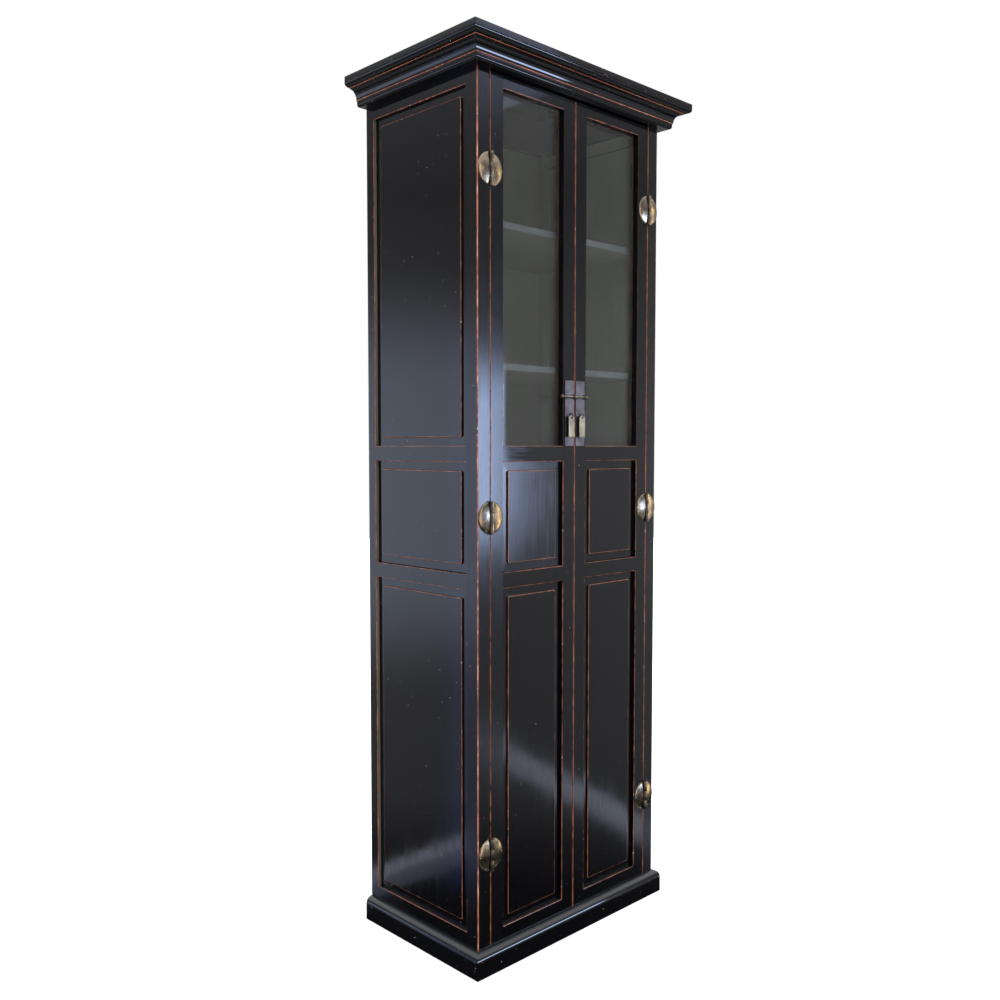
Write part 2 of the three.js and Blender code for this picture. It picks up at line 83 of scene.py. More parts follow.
# Its bright patches: heading, reach right and left, softness, lower and upper sine, softness, tilt, colour.
GLOWS = (
    (-53, (6.0, 6.8), 0.5, -0.065, 0.05, 0.05, 0.0, (8.5, 10.8, 16.5)),
    (129, (3.0, 5.0), 5.0, -0.12, 0.05, 0.13, 0.0, (0.70, 0.84, 1.15)),
    (134, (2.7, 6.0), 0.4, -0.40, 0.10, 0.02, 0.0, (0.05, 0.10, 0.34)),
    (129.4, (8.0, 8.0), 2.0, -0.403, -0.384, 0.003, 0.28, (0.42, 0.44, 0.62)),
    (129.4, (8.0, 2.0), 1.0, -0.390, -0.381, 0.002, 0.28, (0.80, 0.82, 0.95)),
    (-42, (6.5, 5.0), 2.0, -0.338, -0.322, 0.010, -0.46, (0.68, 0.76, 1.00)),
    (-42, (4.5, 3.5), 2.0, -0.333, -0.323, 0.008, -0.46, (0.50, 0.56, 0.66)),
    (-46.5, (1.2, 3.0), 0.5, 0.315, 0.40, 0.004, 0.3, (0.6, 0.7, 1.2)),
    (-27, (3.0, 2.5), 2.0, -0.25, 0.25, 0.1, 0.0, (5.0, 4.0, 2.5)),
    (-76, (4.0, 4.0), 3.0, -0.25, 0.30, 0.1, 0.0, (3.4, 3.0, 2.4)),
)

# Woodwork.
FIT_MM = 0.25
ARRIS_MM = 1.3
CORNER_MM = 2.4
ARRIS_STEPS = 4
SMOOTH_ANGLE = math.radians(35)
WEAR = "wear"

# How worn each arris is: the ground shows from about 0.6, and bare wood from about 1.1.
FRONT_CORNER_WEAR = 1.08
REAR_CORNER_WEAR = 0.75
POST_OPENING_WEAR = 0.92
FRONT_BAY_WEAR = 0.72
REAR_BAY_WEAR = 0.95
SIDE_RAIL_WEAR = 0.86
HINGE_STILE_WEAR = 0.86
MEETING_STILE_WEAR = 0.98
STILE_BACK_WEAR = 0.5
DOOR_BAY_WEAR = 0.80
TOP_BOARD_WEAR = 0.42

# Colours of the lacquer and what shows through it.
DARK_BLACK = (0.0007, 0.0008, 0.0013)
LIGHT_BLACK = (0.0015, 0.0016, 0.0022)
DARK_GROUND = (0.11, 0.024, 0.011)
LIGHT_GROUND = (0.32, 0.092, 0.042)
BARE_WOOD = (0.48, 0.26, 0.19)
CHIP = (0.42, 0.39, 0.36)
DUST = (0.020, 0.021, 0.025)

BEAD_SHADES = ((0.010, 0.006, 0.006), (0.070, 0.026, 0.019), (0.030, 0.013, 0.010))

# The panes, and the film of dust on them.
GLASS_TINT = (0.93, 0.95, 0.93)
FILM_TINT = (0.52, 0.52, 0.47)
FILM_SHARE = (0.016, 0.028)

# Colours of the wash inside, and of the shelves' front edges: dark, light and fleck.
OLIVE_SHADES = ((0.080, 0.080, 0.066), (0.104, 0.104, 0.087), (0.064, 0.062, 0.053))
EDGE_SHADES = ((0.040, 0.045, 0.052), (0.062, 0.068, 0.078), (0.030, 0.033, 0.038))

# Colours of the metals: dark, light and stain.
HINGE_SHADES = ((0.080, 0.070, 0.064), (0.34, 0.275, 0.185), (0.040, 0.034, 0.034))
LOCK_SHADES = ((0.060, 0.056, 0.060), (0.125, 0.115, 0.118), (0.030, 0.026, 0.025))
PULL_SHADES = ((0.13, 0.112, 0.078), (0.34, 0.295, 0.200), (0.050, 0.042, 0.034))
NAIL_SHADES = ((0.30, 0.27, 0.22), (0.50, 0.46, 0.38), (0.12, 0.10, 0.08))

# Raised panels, as in the CAD solid: how far the field lies inside the panel's box, and its depths.
TONGUE_MM = 7.5
FIELD_MARGIN_MM = 21
FIELD_CORNER_MM = 4.5
FIELD_RISE_MM = 4.5
FIELD_COVE_MM = 1.2
FIELD_ARRIS_MM = 1.1
CORNER_STEPS = 6

# Mouldings. Points are (projection, height) in mm from the foot of each, and radii are in the same order.
PLINTH_ROUND_MM = 17
PLINTH_INNER_MM = 19
CORNICE_INNER_MM = 36
BEAD_CENTRE = (21, 7)
BEAD_RADII = (6.5, 7)
FILLET_FOOT = (27.5, 13)
FILLET_HEAD = (29.5, 14.5)
COVE_CENTRE = (47, 14.5)
COVE_RADII = (17.5, 23.5)
THUMBNAIL_FOOT = (50.5, 40)
THUMBNAIL_RISE = 10
MITRE_GAP_MM = 0.1

# Boards that close the case above, below and behind.
TOP_BOARD_MM = 14
FLOOR_BOARD_MM = 18
FLOOR_BOARD_INSET_MM = 20
PLINTH_BACK_MM = 18
PLINTH_BACK_INSET_MM = 20.2
BOARD_GAP_MM = 0.2

# Glazing: each pane lies in a rebate and is held by four beads behind it.
REBATE_MM = 7.5
BEAD_DEPTH_MM = 8
BEAD_GAP_MM = 0.3
BEAD_PROUD_MM = 1.5

# Hinges.
HINGE_RADIUS_MM = 38
HINGE_RIM_MM = 1.2
HINGE_CROWN_MM = 6
KNUCKLE_MM = 5.2
KNUCKLE_CLEARANCE_MM = 0.6
DOOR_KNUCKLE_MM = 12.7
HINGE_GROOVE_MM = 2.2
NAIL_RING_MM = 33.5
NAIL_ANGLES = (62, 0, -62)

# Nail heads as (radius, height) in mm, the dome first. Those of the lock plates are flatter.
HINGE_NAIL = ((0, -0.9), (0.675, -0.8), (1.2, -0.45), (1.5, 0), (1.5, 0.5), (0, 0.5))
PLATE_NAIL = ((0, -0.8), (0.75, -0.7), (1.275, -0.35), (1.5, 0), (1.5, 0.3), (0, 0.3))
PLATE_NAIL_INSET_MM = 8

# Lock and pulls.
EYE_MM = 5
EYE_WIRE_MM = 1.5
LOOP_MM = 5.5
LOOP_WIRE_MM = 1
PLATE_MM = 1.6
TAB_HOLE_MM = 2.2
TAB_CHAMFER_MM = 4
PIN_KNOB_MM = 4.5
PIN_SHANK_MM = 2.8
PIN_NECK_MM = 1.8


# ---------------------------------------------------------------- materials


class Nodes:
    """A shader node tree, with short ways to add to it."""

    def __init__(self, tree, coordinate):
        self.tree = tree
        self.place = self.add("TexCoord").outputs[coordinate]

    def add(self, kind, **settings):
        node = self.tree.nodes.new("ShaderNode" + kind)
        for name, value in settings.items():
            setattr(node, name, value)
        return node

    def join(self, source, socket):
        self.tree.links.new(source, socket)

    def feed(self, socket, value):
        if isinstance(value, bpy.types.NodeSocket):
            self.join(value, socket)
        else:
            socket.default_value = value

    def fill(self, node, **values):
        for name, value in values.items():
            self.feed(node.inputs[name.replace("_", " ")], value)

    def stretched(self, scale):
        node = self.add("Mapping")
        self.fill(node, Scale=scale, Vector=self.place)
        return node.outputs["Vector"]

    def noise(self, scale, detail=2.0, roughness=0.5, stretch=(1, 1, 1), distortion=0.0):
        node = self.add("TexNoise")
        self.fill(node, Scale=scale, Detail=detail, Roughness=roughness, Distortion=distortion)
        self.fill(node, Vector=self.stretched(stretch))
        return node.outputs["Fac"]

    def math(self, operation, first, second=0.0):
        node = self.add("Math", operation=operation)
        self.feed(node.inputs[0], first)
        self.feed(node.inputs[1], second)
        return node.outputs["Value"]

    def remapped(self, value, low, high, to_low=0.0, to_high=1.0, smooth=False):
        node = self.add("MapRange", clamp=True)
        node.interpolation_type = "SMOOTHSTEP" if smooth else "LINEAR"
        self.fill(node, Value=value, From_Min=low, From_Max=high, To_Min=to_low, To_Max=to_high)
        return node.outputs["Result"]

    def mixed(self, factor, first, second):
        node = self.add("Mix", data_type="RGBA")
        self.fill(node, Factor=factor, A=first, B=second)
        return node.outputs["Result"]

    def mixed_shader(self, factor, first, second):
        node = self.add("MixShader")
        self.join(factor, node.inputs["Fac"])
        self.join(first, node.inputs[1])
        self.join(second, node.inputs[2])
        return node.outputs["Shader"]

    def attribute(self, name):
        return self.add("Attribute", attribute_name=name).outputs["Fac"]

    def bump(self, height, distance, strength=1.0, before=None):
        node = self.add("Bump")
        self.fill(node, Strength=strength, Distance=distance, Height=height)
        if before is not None:
            self.fill(node, Normal=before)
        return node.outputs["Normal"]


class Shading(Nodes):
    """A material and its principled shader."""

    def __init__(self, name):
        self.material = bpy.data.materials.new(name)
        self.material.use_nodes = True
        super().__init__(self.material.node_tree, "Object")
        self.shader = self.tree.nodes["Principled BSDF"]

    def set(self, **values):
        self.fill(self.shader, **values)


def rgb(red, green, blue):
    return (red, green, blue, 1.0)


def lacquer(name, along, haze=0.0):
    """Black lacquer over orange-red ground, on wood whose grain runs along one axis: 0, 1 or 2.
    It is worn through where WEAR is high, and haze dulls it."""
    shading = Shading(name)
    grain_stretch = [9.0, 9.0, 9.0]
    grain_stretch[along] = 0.35
    grain = shading.noise(22, 3, 0.6, grain_stretch, 0.4)
    pores = shading.noise(60, 2, 0.5, grain_stretch)
    cloud = shading.noise(3.2, 3, 0.55)
    smear = shading.noise(14, 4, 0.6)
    patch = shading.noise(55, 3, 0.6)
    speck = shading.noise(420, 2, 0.6)

    worn = shading.attribute(WEAR)
    rub = shading.math("ADD", worn, shading.remapped(patch, 0.25, 0.75, -0.34, 0.34))
    rub = shading.math("ADD", rub, shading.remapped(speck, 0.25, 0.75, -0.16, 0.16))
    ground = shading.remapped(rub, 0.52, 0.80, smooth=True)
    bare = shading.remapped(rub, 1.12, 1.34, smooth=True)
    nick = shading.remapped(shading.noise(130, 1, 0.5), 0.735, 0.76)
    nick = shading.math("MULTIPLY", nick, shading.remapped(worn, 0.0, 0.3, 0.0, 1.0))
    stray = shading.remapped(shading.noise(250, 0, 0.5), 0.865, 0.885, 0.0, 0.6)
    nick = shading.math("MAXIMUM", nick, stray)

    upward = shading.add("SeparateXYZ")
    shading.join(shading.add("NewGeometry").outputs["Normal"], upward.inputs["Vector"])
    dust = shading.remapped(upward.outputs["Z"], 0.35, 0.95, 0.0, 0.75, smooth=True)
    dust = shading.math("MULTIPLY", dust, shading.remapped(smear, 0.3, 0.7, 0.6, 1.0))

    black = shading.mixed(shading.remapped(cloud, 0.3, 0.7), rgb(*DARK_BLACK), rgb(*LIGHT_BLACK))
    red = shading.mixed(shading.remapped(smear, 0.3, 0.7), rgb(*DARK_GROUND), rgb(*LIGHT_GROUND))
    colour = shading.mixed(dust, black, rgb(*DUST))
    colour = shading.mixed(ground, colour, red)
    colour = shading.mixed(bare, colour, rgb(*BARE_WOOD))
    colour = shading.mixed(nick, colour, rgb(*CHIP))

    gloss = shading.remapped(smear, 0.3, 0.7, 0.04 + haze, 0.07 + haze)
    gloss = shading.math("ADD", gloss, shading.remapped(grain, 0.3, 0.7, -0.02, 0.03))
    rough = shading.math("ADD", gloss, shading.math("MULTIPLY", ground, 0.22))
    rough = shading.math("ADD", rough, shading.math("MULTIPLY", dust, 0.40))
    brushed = 0.15 + 6 * haze
    relief = shading.bump(grain, 0.05 * MM, brushed)
    relief = shading.bump(pores, 0.02 * MM, brushed, relief)
    relief = shading.bump(cloud, 1.2 * MM, 0.30, relief)
    relief = shading.bump(ground, -0.12 * MM, 0.6, relief)
    shading.set(Base_Color=colour, Roughness=rough, Normal=relief, IOR=1.5)
    return shading.material


def wash(name, dark, light, fleck):
    """The thin dull wash inside the case, brushed on along the wood."""
    shading = Shading(name)
    cloud = shading.noise(4, 4, 0.6)
    fibre = shading.noise(40, 3, 0.6, (1, 1, 0.12))
    colour = shading.mixed(shading.remapped(cloud, 0.3, 0.7), rgb(*dark), rgb(*light))
    colour = shading.mixed(shading.remapped(fibre, 0.35, 0.75, 0.0, 0.35), colour, rgb(*fleck))
    relief = shading.bump(fibre, 0.02 * MM, 0.4)
    rough = shading.remapped(cloud, 0.3, 0.7, 0.5, 0.7)
    shading.set(Base_Color=colour, Roughness=rough, Specular_IOR_Level=0.12, Normal=relief)
    return shading.material


def bead_wood():
    """Dark stain on the glazing beads, red-brown where the black was never brushed on."""
    shading = Shading("bead_wood")
    dark, light, streak = (rgb(*shade) for shade in BEAD_SHADES)
    fibre = shading.noise(40, 3, 0.6, (6, 6, 0.3))
    cloud = shading.noise(18, 3, 0.6)
    colour = shading.mixed(shading.remapped(cloud, 0.35, 0.7), dark, light)
    colour = shading.mixed(shading.remapped(fibre, 0.5, 0.8), colour, streak)
    relief = shading.bump(fibre, 0.1 * MM, 0.6)
    shading.set(Base_Color=colour, Roughness=shading.remapped(fibre, 0.3, 0.7, 0.35, 0.55), Normal=relief)
    return shading.material


def clear_glass():
    """Sheet glass: what is behind it, with the mirror image that each face adds, and a little dust.
    It doesn't hold back the light that reaches the inside of the case."""
    shading = Shading("clear_glass")
    tree = shading.tree
    tree.nodes.remove(shading.shader)
    through = shading.add("BsdfTransparent")
    through.inputs["Color"].default_value = rgb(*GLASS_TINT)
    film = shading.add("BsdfDiffuse")
    film.inputs["Color"].default_value = rgb(*FILM_TINT)
    mirror = shading.add("BsdfGlossy")
    wave = shading.noise(5, 2, 0.5, (1, 1, 0.6))
    smudge = shading.noise(30, 4, 0.6)
    rough = shading.remapped(smudge, 0.4, 0.75, 0.0, 0.03)
    shading.fill(mirror, Roughness=rough, Normal=shading.bump(wave, 0.5 * MM, 0.05))
    slant = shading.add("LayerWeight").outputs["Facing"]
    grazing = shading.math("MULTIPLY", shading.math("POWER", slant, 5.0), 0.96)
    seen = shading.math("SUBTRACT", 1.0, shading.add("LightPath").outputs["Is Diffuse Ray"])
    mirrored = shading.math("MULTIPLY", shading.math("ADD", grazing, 0.04), seen)
    dust = shading.remapped(smudge, 0.3, 0.75, *FILM_SHARE)
    dusty = shading.mixed_shader(dust, through.outputs["BSDF"], film.outputs["BSDF"])
    surface = shading.mixed_shader(mirrored, dusty, mirror.outputs["BSDF"])
    shading.join(surface, tree.nodes["Material Output"].inputs["Surface"])
    return shading.material


def aged_metal(name, shades, rough_low, rough_high):
    """Hand-beaten sheet brass with tarnish in patches and fine scratches."""
    shading = Shading(name)
    dark, light, stain = (rgb(*shade) for shade in shades)
    cloud = shading.noise(28, 4, 0.6)
    patina = shading.noise(95, 4, 0.65)
    scratch = shading.noise(220, 2, 0.6, (1, 1, 0.1))
    dent = shading.noise(85, 1, 0.5)
    colour = shading.mixed(shading.remapped(cloud, 0.3, 0.7), dark, light)
    colour = shading.mixed(shading.remapped(patina, 0.55, 0.75, 0.0, 0.6), colour, stain)
    rough = shading.remapped(patina, 0.3, 0.7, rough_low, rough_high)
    rough = shading.math("ADD", rough, shading.remapped(scratch, 0.4, 0.7, 0.0, 0.08))
    relief = shading.bump(dent, 0.35 * MM, 0.35)
    relief = shading.bump(scratch, 0.03 * MM, 0.4, relief)
    shading.set(Base_Color=colour, Roughness=rough, Normal=relief, Metallic=1.0)
    return shading.material


LACQUER_X = lacquer("lacquer_across", 0)
LACQUER_Y = lacquer("lacquer_deep", 1)
LACQUER_Z = lacquer("lacquer_upright", 2)
LACQUER_HAZY = lacquer("lacquer_upright_hazy", 2, 0.075)
INTERIOR = wash("dull_interior", *OLIVE_SHADES)
SHELF_EDGE = wash("shelf_edge", *EDGE_SHADES)
BEAD_WOOD = bead_wood()
GLASS = clear_glass()
HINGE_METAL = aged_metal("hinge_brass", HINGE_SHADES, 0.12, 0.26)
LOCK_METAL = aged_metal("lock_bronze", LOCK_SHADES, 0.30, 0.46)
PULL_METAL = aged_metal("pull_brass", PULL_SHADES, 0.26, 0.42)
NAIL_METAL = aged_metal("nail_brass", NAIL_SHADES, 0.20, 0.34)


# ---------------------------------------------------------------- meshes and pieces


def linked(name, data):
    """A new object in the scene."""
    made = bpy.data.objects.new(name, data)
    bpy.context.scene.collection.objects.link(made)
    return made


def piece(name, mesh, material, body, slot, *nodes):
    """Adds a mesh as a piece that rides on a body and stands for CAD nodes."""
    for coat in material if isinstance(material, tuple) else (material,):
        mesh.materials.append(coat)
    made = linked(name, mesh)
    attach(made, body)
    if nodes:
        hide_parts(*nodes)
    return made


def is_square(face):
    return max(abs(x) for x in face.normal) > 0.99999


def mesh_of(name, bm, is_joinery=False):
    """The bmesh as a mesh, smooth but for its sharp edges.
    In joinery, flat faces also part from the rounded arrises."""
    bmesh.ops.recalc_face_normals(bm, faces=bm.faces)
    for face in bm.faces:
        face.smooth = True
    for edge in bm.edges:
        edge.smooth = len(edge.link_faces) == 2 and edge.calc_face_angle(0.0) < SMOOTH_ANGLE
        if is_joinery and edge.smooth:
            edge.smooth = is_square(edge.link_faces[0]) == is_square(edge.link_faces[1])
    mesh = bpy.data.meshes.new(name)
    bm.to_mesh(mesh)
    bm.free()
    return mesh


def weighted(made):
    modifier = made.modifiers.new("even_normals", "WEIGHTED_NORMAL")
    modifier.keep_sharp = True
    return made


def wear_layer(bm):
    return bm.faces.layers.float.get(WEAR) or bm.faces.layers.float.new(WEAR)


def on_segment(point, start, end, slack=0.06 * MM):
    along = end - start
    share = (point - start).dot(along) / along.length_squared
    slip = slack / along.length
    return -slip <= share <= 1 + slip and (point - start - along * share).length < slack


def rounded(bm, edges, radius_mm, steps=3):
    """Rounds edges, and returns the new faces."""
    made = bmesh.ops.bevel(
        bm,
        geom=edges,
        offset=radius_mm * MM,
        offset_type="OFFSET",
        segments=steps,
        profile=0.5,
        affect="EDGES",
        clamp_overlap=True,
    )
    return made["faces"]


def ease(bm, start, end, radius_mm, wear):
    """Rounds the edges that lie on a segment, and wears the new faces, most along the middle of the round."""
    start, end = Vector(start), Vector(end)
    edges = [e for e in bm.edges if all(on_segment(v.co, start, end) for v in e.verts)]
    if not edges:
        raise ValueError(f"no edge from {start} to {end}")
    faces = rounded(bm, edges, radius_mm, ARRIS_STEPS)
    layer = wear_layer(bm)
    for face in faces:
        parts = sorted(abs(x) for x in face.normal)
        slant = min(1.0, parts[1] / max(parts[2], 1e-6) / 0.6)
        face[layer] = wear * (0.55 + 0.45 * slant)


def split_at(bm, axis, values):
    """Cuts every face at planes square to an axis, so that an arris can be eased over part of its length."""
    normal = Vector([float(axis == i) for i in range(3)])
    for value in values:
        bmesh.ops.bisect_plane(
            bm,
            geom=bm.verts[:] + bm.edges[:] + bm.faces[:],
            dist=1e-6,
            plane_co=normal * value,
            plane_no=normal,
        )


def solid_of(node):
    """A CAD node's solid, welded, with its flat faces whole."""
    bm = bmesh.new()
    bm.from_mesh(frame["nodes"][node].data)
    for layer in list(bm.loops.layers.uv):
        bm.loops.layers.uv.remove(layer)
    bmesh.ops.remove_doubles(bm, verts=bm.verts, dist=1e-5)
    bmesh.ops.dissolve_limit(bm, angle_limit=math.radians(0.3), verts=bm.verts, edges=bm.edges)
    wear_layer(bm)
    return bm


def line(bm, axis, sign):
    """Gives the faces that look along an axis the piece's second material, the wash inside the case."""
    for face in bm.faces:
        if face.normal[axis] * sign > 0.99:
            face.material_index = 1


def eased_copy(node, body, material, slot, arrises, cuts=(), lined=()):
    """A CAD node with some of its arrises rounded and worn: (start, end, radius in mm, wear) each.
    lined is the directions, (axis, sign), that look into the case."""
    bm = solid_of(node)
    split_at(bm, 2, cuts)
    for start, end, radius_mm, wear in arrises:
        ease(bm, start, end, radius_mm, wear)
    bm.normal_update()
    for direction in lined:
        line(bm, *direction)
    return piece("finished_" + node, mesh_of(node, bm, True), material, body, slot, node)


def block(lo, hi):
    """A box between two corners."""
    bm = bmesh.new()
    bmesh.ops.create_cube(bm, size=1.0)
    size, middle = hi - lo, (hi + lo) / 2
    bmesh.ops.transform(bm, matrix=Matrix.Translation(middle) @ Matrix.Diagonal((*size, 1.0)), verts=bm.verts)
    return bm


def skinned(bm, loops):
    """Joins closed loops of points by bands of quads, and caps the first and the last."""
    count = len(loops[0])
    bands = []
    for one, two in zip(loops, loops[1:]):
        following = [(i, (i + 1) % count) for i in range(count)]
        bands.append([bm.faces.new((one[i], one[j], two[j], two[i])) for i, j in following])
    return bands, (bm.faces.new(loops[0][::-1]), bm.faces.new(loops[-1]))


def swept(profile, x0, x1, turn0, turn1):
    """A moulding along X. The profile is [(y, z, wear of the stretch that follows)], with y forwards.
    A turn is 0 at an end that is cut square, and 1 at one that is mitred."""
    bm = bmesh.new()
    layer = wear_layer(bm)
    ends = [[bm.verts.new((x0 - turn0 * y, -y, z)) for y, z, _ in profile]]
    ends.append([bm.verts.new((x1 + turn1 * y, -y, z)) for y, z, _ in profile])
    (band,), _ = skinned(bm, ends)
    for face, (_, _, wear) in zip(band, profile):
        face[layer] = wear
    return bm


def arc(centre, radius, start, end, steps, wear=0.0):
    """Points of an elliptical arc as [(y, z, wear)], angles in degrees."""
    radii = radius if isinstance(radius, tuple) else (radius, radius)
    points = []
    for i in range(steps + 1):
        angle = math.radians(start + (end - start) * i / steps)
        points.append((centre[0] + radii[0] * math.cos(angle), centre[1] + radii[1] * math.sin(angle), wear))
    return points


def softened(points, radius, wear, steps=3):
    """A profile's corner point rounded: points is (before, corner, after) as (y, z)."""
    before, corner, after = (Vector(p) for p in points)
    start = corner + (before - corner).normalized() * radius
    end = corner + (after - corner).normalized() * radius
    made = []
    for i in range(steps + 1):
        t = i / steps
        point = start * (1 - t) ** 2 + corner * 2 * t * (1 - t) + end * t**2
        made.append((point.x, point.y, wear if i < steps else 0.0))
    return made


# ---------------------------------------------------------------- camera, light and floor


def camera():
    data = bpy.data.cameras.new("camera")
    data.sensor_width = 36
    data.lens = CAMERA_LENS
    made = linked("camera", data)
    made.location = CAMERA_PLACE
    made.rotation_euler = (math.radians(90 + CAMERA_TILT), 0, math.radians(-CAMERA_HEADING))
    bpy.context.scene.camera = made


def glow(sky, parts, heading, spread, fade, low, high, rise, tilt, colour):
    """A soft-edged bright patch of the room. Heading is in degrees from +X towards +Y, spread its reach
    to either side, and fade the width of its upright edges. Low and high are the sines of its limits,
    rise is their softness, and tilt is how far they climb to the left."""
    angle = math.radians(heading)
    across = sky.math("ADD", sky.math("MULTIPLY", parts["X"], -math.sin(angle)),
                      sky.math("MULTIPLY", parts["Y"], math.cos(angle)))
    ahead = sky.math("ADD", sky.math("MULTIPLY", parts["X"], math.cos(angle)),
                     sky.math("MULTIPLY", parts["Y"], math.sin(angle)))
    mask = sky.remapped(ahead, 0.0, 0.05)
    level = sky.math("ADD", parts["Z"], sky.math("MULTIPLY", across, -tilt))
    right, left = -math.sin(math.radians(spread[0])), math.sin(math.radians(spread[1]))
    soft = math.sin(math.radians(fade))
    edges = (
        (across, right - soft, right, 0.0, 1.0),
        (across, left, left + soft, 1.0, 0.0),
        (level, low - rise, low, 0.0, 1.0),
        (level, high, high + rise, 1.0, 0.0),
    )
    for value, start, end, before, after in edges:
        mask = sky.math("MULTIPLY", mask, sky.remapped(value, start, end, before, after, smooth=True))
    return sky.mixed(mask, rgb(0, 0, 0), rgb(*colour))


def surroundings():
    """A white studio for the camera. Lacquer and brass mirror a room with windows, dark near the ground."""
    world = bpy.data.worlds.new("studio")
    bpy.context.scene.world = world
    world.use_nodes = True
    world.node_tree.nodes.clear()
    sky = Nodes(world.node_tree, "Generated")
    split = sky.add("SeparateXYZ")
    sky.join(sky.place, split.inputs["Vector"])
    parts = split.outputs
    ramp = sky.add("ValToRGB")
    sky.join(sky.remapped(parts["Z"], -1.0, 1.0), ramp.inputs["Fac"])
    elements = ramp.color_ramp.elements
    while len(elements) < len(ROOM_SHADES):
        elements.new(0.5)
    for element, (degrees, shade) in zip(elements, ROOM_SHADES):
        element.position = 0.5 + math.sin(math.radians(degrees)) / 2
        element.color = rgb(*(shade * tint for tint in ROOM_TINT))
    total = ramp.outputs["Color"]
    for settings in GLOWS:
        more = sky.add("VectorMath", operation="ADD")
        sky.join(total, more.inputs[0])
        sky.join(glow(sky, parts, *settings), more.inputs[1])
        total = more.outputs["Vector"]
    path = sky.add("LightPath")
    room = sky.add("Background")
    sky.join(total, room.inputs["Color"])
    strength = sky.remapped(path.outputs["Is Diffuse Ray"], 0.0, 1.0, 1.0, ROOM_FILL)
    sky.join(strength, room.inputs["Strength"])
    white = sky.add("Background")
    white.inputs["Color"].default_value = rgb(1, 1, 1)
    is_seen = path.outputs["Is Camera Ray"]
    surface = sky.mixed_shader(is_seen, room.outputs["Background"], white.outputs["Background"])
    sky.join(surface, sky.add("OutputWorld").inputs["Surface"])


def floor():
    mesh = bpy.data.meshes.new("floor")
    reach = 9.0
    corners = [(-reach, -reach, 0), (reach, -reach, 0), (reach, reach, 0), (-reach, reach, 0)]
    mesh.from_pydata(corners, [], [(0, 1, 2, 3)])
    made = linked("floor", mesh)
    shading = Shading("pale_floor")
    cloud = shading.noise(1.5, 2, 0.5)
    colour = shading.mixed(cloud, rgb(0.90, 0.90, 0.89), rgb(0.94, 0.94, 0.94))
    shading.set(Base_Color=colour, Roughness=0.85)
    mesh.materials.append(shading.material)
    made.visible_glossy = False


camera()
surroundings()
floor()
bpy.context.scene.view_settings.view_transform = "Standard"


# ---------------------------------------------------------------- the case's frame


RAIL_PLACES = ("bottom", "lower", "upper", "top")


def bays_of(prefix, side):
    """The heights between each rail and the next, from the bottom up."""
    rails = [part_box(f"{prefix}_{place}_{side}") for place in RAIL_PLACES]
    return [(below[1].z, above[0].z) for below, above in zip(rails, rails[1:])]


def eased_heights(place, lo, hi):
    """The heights of a rail's arrises that border a panel or a pane."""
    return {"bottom": (hi.z,), "top": (lo.z,)}.get(place, (lo.z, hi.z))


def upright_arris(x, y, bottom, top, radius_mm, wear):
    return (x, y, bottom), (x, y, top), radius_mm, wear


def case_posts(side):
    sign = SIDES[side]
    bays = bays_of("side_rail", side)
    cuts = sorted({z for bay in bays for z in bay})
    for place in ("front", "rear"):
        node = f"{place}_post_{side}"
        lo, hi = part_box(node)
        outer, inner = (lo.x, hi.x) if sign < 0 else (hi.x, lo.x)
        is_front = place == "front"
        corner_y, panel_y = (lo.y, hi.y) if is_front else (hi.y, lo.y)
        corner_wear = FRONT_CORNER_WEAR if is_front else REAR_CORNER_WEAR
        arrises = [upright_arris(outer, corner_y, lo.z, hi.z, CORNER_MM, corner_wear)]
        if is_front:
            arrises.append(upright_arris(inner, corner_y, lo.z, hi.z, ARRIS_MM, POST_OPENING_WEAR))
        bay_wear = FRONT_BAY_WEAR if is_front else REAR_BAY_WEAR
        arrises += [upright_arris(outer, panel_y, z0, z1, ARRIS_MM, bay_wear) for z0, z1 in bays]
        if is_front:
            coats, lined = LACQUER_HAZY, ()
        else:
            coats, lined = (LACQUER_Z, INTERIOR), ((0, -sign), (1, -1))
        eased_copy(node, "case", coats, "black_lacquer", arrises, cuts, lined)


def side_rails(side):
    sign = SIDES[side]
    y0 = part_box(f"front_post_{side}")[1].y
    y1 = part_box(f"rear_post_{side}")[0].y
    gap = FIT_MM * MM
    for place in RAIL_PLACES:
        node = f"side_rail_{place}_{side}"
        lo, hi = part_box(node)
        x = lo.x if sign < 0 else hi.x
        arrises = [
            ((x, y0 + gap, z), (x, y1 - gap, z), ARRIS_MM, SIDE_RAIL_WEAR)
            for z in eased_heights(place, lo, hi)
        ]
        eased_copy(node, "case", (LACQUER_Y, INTERIOR), "black_lacquer", arrises, (), ((0, -sign),))


